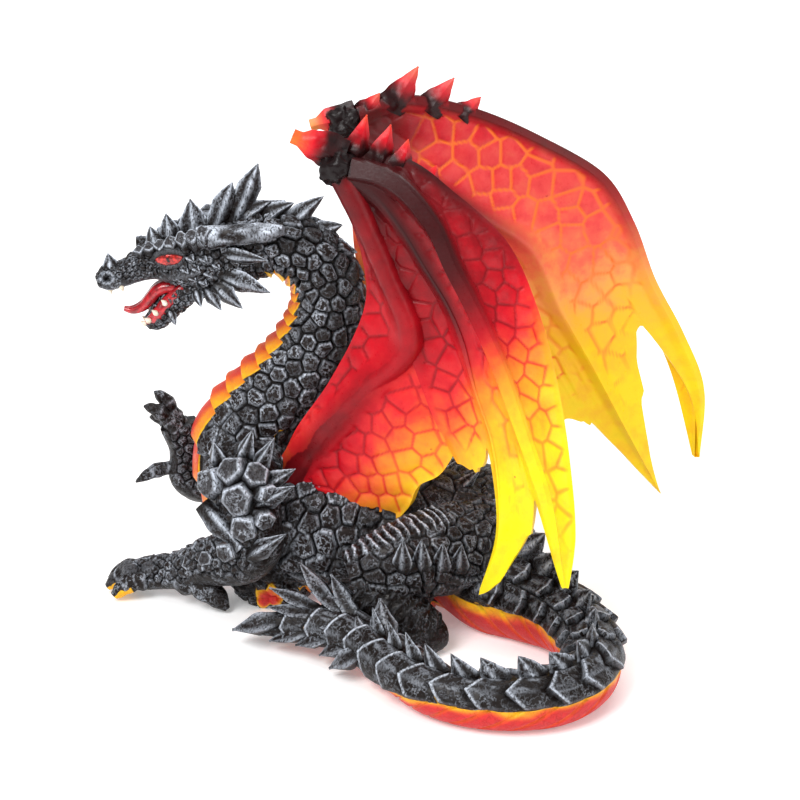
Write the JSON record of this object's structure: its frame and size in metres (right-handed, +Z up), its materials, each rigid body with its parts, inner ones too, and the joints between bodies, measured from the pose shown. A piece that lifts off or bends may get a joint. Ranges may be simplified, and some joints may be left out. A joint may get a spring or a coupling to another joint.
{
  "type": "dragon statue",
  "caption": "Crouching winged dragon figurine in painted cast resin, neck in an S, mouth open, wings raised and tail curled round in front; stands on a shelf as an ornament.",
  "frame": {"origin": "middle of the bounding box in plan, on the surface the statue stands on", "axes": "+Z up; the dragon faces -X, its left side is towards -Y"},
  "size_m": [0.1852, 0.136, 0.163],
  "materials": {
    "body_paint": "charcoal paint on cast resin, dry-brushed pale grey on the scale rims, orange washed into the grooves",
    "left_wing_paint": "satin paint on cast resin, sooty at the arm, red to orange to yellow towards the claws",
    "right_wing_paint": "satin paint on cast resin, sooty at the arm, red to orange to yellow towards the claws"
  },
  "bodies": {
    "root": {"body": "body_paint", "left_wing": "left_wing_paint", "right_wing": "right_wing_paint"}
  },
  "joints": []
}
